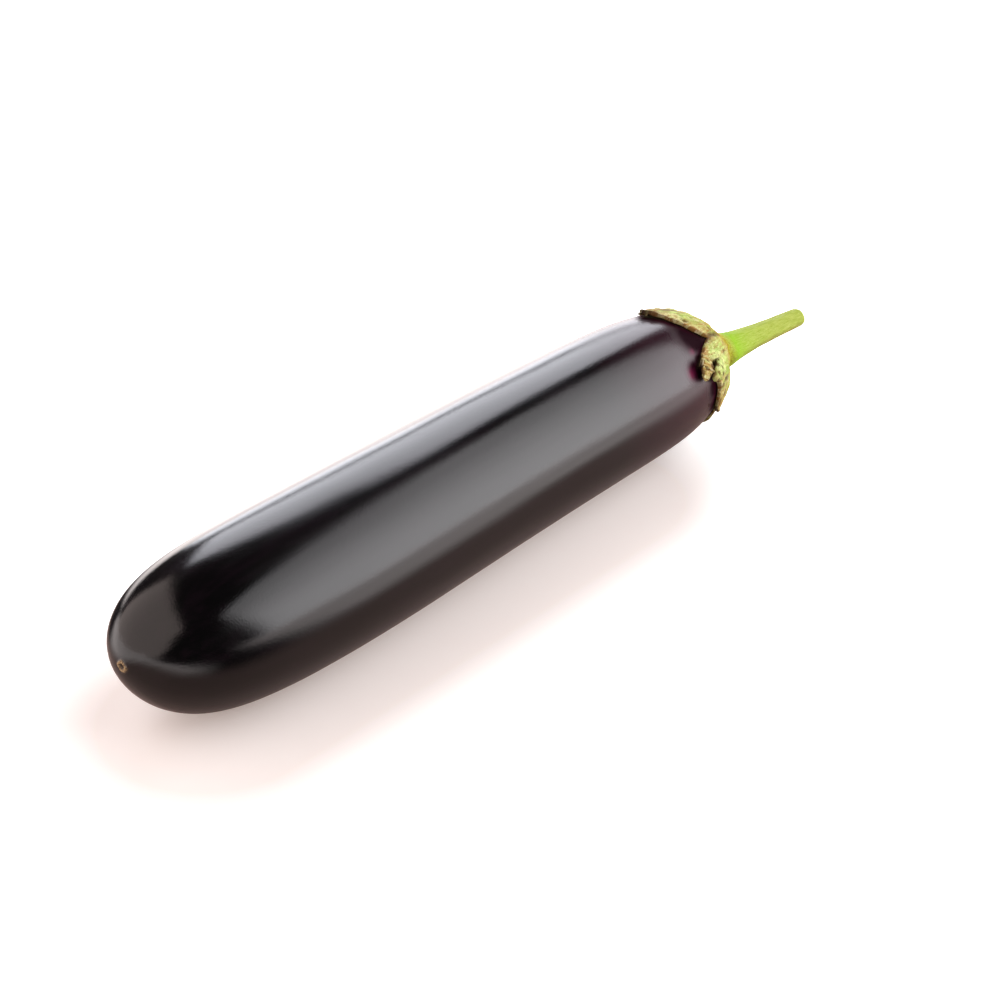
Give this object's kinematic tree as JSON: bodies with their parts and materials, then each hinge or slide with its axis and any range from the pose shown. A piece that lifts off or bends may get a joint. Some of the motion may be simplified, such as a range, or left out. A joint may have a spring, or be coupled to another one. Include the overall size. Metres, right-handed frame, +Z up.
{
  "type": "eggplant",
  "caption": "Long dark eggplant as picked, lying on its side, with its green calyx and cut stem.",
  "frame": {"origin": "on the resting surface, under the middle of the whole eggplant's box", "axes": "+X along the fruit from its blossom end to its stem, +Z up"},
  "size_m": [0.3084, 0.0524, 0.0515],
  "materials": {
    "skin": "glossy waxy black-purple vegetable skin",
    "calyx_green": "dry wrinkled yellow-green leaf and stem with brown edges"
  },
  "bodies": {
    "root": {"fruit": "skin", "calyx_and_stem": "calyx_green"}
  },
  "joints": []
}
